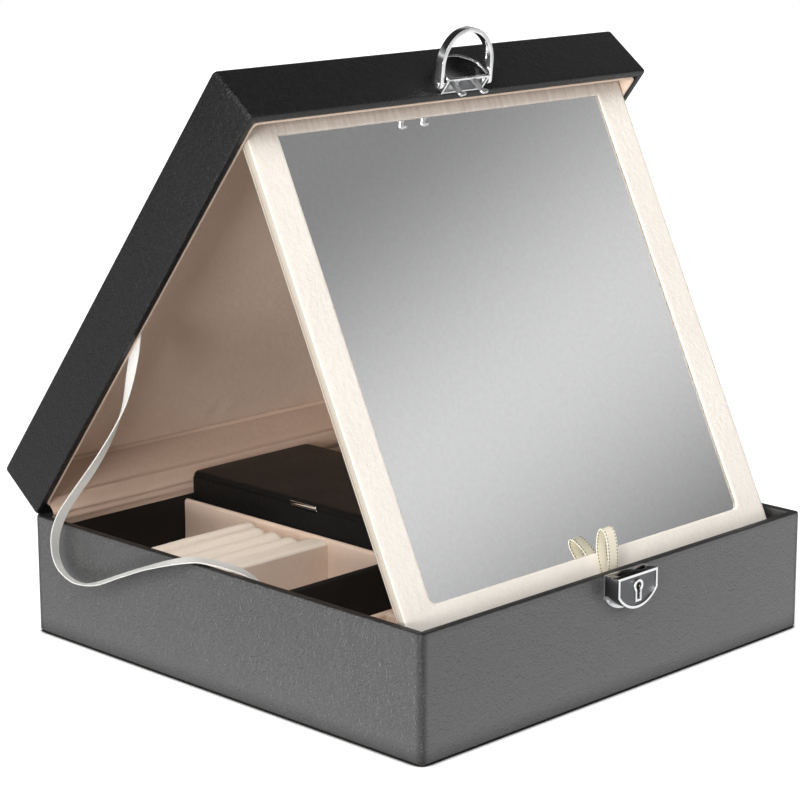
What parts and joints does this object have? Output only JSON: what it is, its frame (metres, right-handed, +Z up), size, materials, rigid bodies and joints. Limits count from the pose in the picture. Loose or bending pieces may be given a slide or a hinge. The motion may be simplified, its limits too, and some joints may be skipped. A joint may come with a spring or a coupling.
{
  "type": "vanity box with mirror",
  "caption": "Square leather-covered vanity box standing open as an A-frame: lid propped on a fold-out mirror panel, velvet trays, ring rolls, travel case and hasp lock.",
  "frame": {"origin": "centre of the underside of the base, which stands on a table", "axes": "+X to the right and +Z up as seen from the front, -Y towards the front with the lock, +Y towards the lid hinge"},
  "size_m": [0.2795, 0.3015, 0.3025],
  "materials": {
    "board": "dense grey-brown board",
    "outer_leather": "black leatherette with a fine pebbled grain",
    "black_cloth": "black covering cloth",
    "black_velvet": "matt black velvet",
    "cream_velvet": "short cream velvet",
    "ribbon": "cream grosgrain ribbon",
    "bright_metal": "polished chrome plate",
    "grey_metal": "satin grey",
    "bolt_brass": "plain",
    "plain_steel": "plain",
    "mirror_glass": "silvered glass",
    "case_leather": "smooth black leatherette"
  },
  "bodies": {
    "base": {"base_carcass": "board", "base_leather": "outer_leather", "base_bottom_sheet": "black_cloth", "base_liner": "black_velvet", "floor_lining": "cream_velvet", "hinge_cloth": "cream_velvet", "hinge_spine": "outer_leather", "long_divider_left": "cream_velvet", "long_divider_right": "cream_velvet", "ring_roll_block": "cream_velvet", "black_partition": "black_velvet", "right_partitions": "cream_velvet", "front_cross_wall": "cream_velvet", "front_dividers": "cream_velvet", "front_cushion": "cream_velvet", "mirror_rest": "cream_velvet", "stay_ribbon": "ribbon", "lock_case": "bright_metal", "lock_face": "grey_metal", "keyhole_escutcheon": "bright_metal", "lock_backplate": "bright_metal", "lock_rivets": "bright_metal"},
    "lid": {"lid_carcass": "board", "lid_leather": "outer_leather", "lid_wall_lining": "cream_velvet", "lid_lining_panel": "cream_velvet", "lid_magnet": "plain_steel", "lid_spine": "outer_leather", "mirror_hinge_cloth": "cream_velvet", "hasp_cap": "bright_metal", "hasp_backplate": "bright_metal", "hasp_hooks": "bright_metal", "hasp_rivets": "bright_metal", "ring_pins": "bright_metal", "stay_tab": "ribbon"},
    "mirror": {"mirror_frame": "cream_velvet", "mirror_glass": "mirror_glass", "mirror_backboard": "cream_velvet", "mirror_keeper": "plain_steel", "pull_loop": "ribbon"},
    "hasp_ring": {"hasp_ring": "bright_metal"},
    "lock_bolt": {"lock_bolt": "bolt_brass"},
    "travel_case": {"case_shell": "case_leather", "case_lining": "cream_velvet", "case_catch": "bright_metal", "case_hinge_roll": "case_leather"},
    "travel_case_cover": {"case_cover": "case_leather", "case_cover_pad": "case_leather", "case_clasp": "bright_metal"}
  },
  "joints": [
    {"name": "lid_hinge", "type": "hinge", "parent": "base", "child": "lid", "pos_m": [0, 0.134, 0.06], "axis": [-1, 0, 0], "range_deg": [0, 52], "deforming": ["stay_ribbon"]},
    {"name": "mirror_hinge", "type": "hinge", "parent": "lid", "child": "mirror", "pos_m": [0, -0.01185, 0.27784], "axis": [1, 0, 0], "range_deg": [0, 63.7]},
    {"name": "ring_hinge", "type": "hinge", "parent": "lid", "child": "hasp_ring", "pos_m": [0, -0.03163, 0.2764], "axis": [1, 0, 0], "range_deg": [-54, 111]},
    {"name": "bolt_slide", "type": "slide", "parent": "base", "child": "lock_bolt", "axis": [1, 0, 0], "range_m": [0, 0.0022]},
    {"name": "travel_case_lift", "type": "slide", "parent": "base", "child": "travel_case", "axis": [0, 0, 1], "range_m": [0, 0.01]},
    {"name": "travel_case_hinge", "type": "hinge", "parent": "travel_case", "child": "travel_case_cover", "pos_m": [0.0443, 0, 0.0632], "axis": [0, 1, 0], "range_deg": [0, 18]}
  ],
  "couplings": [
    {"joint": "mirror_hinge", "follows": "lid_hinge", "ratio": 1.222}
  ]
}
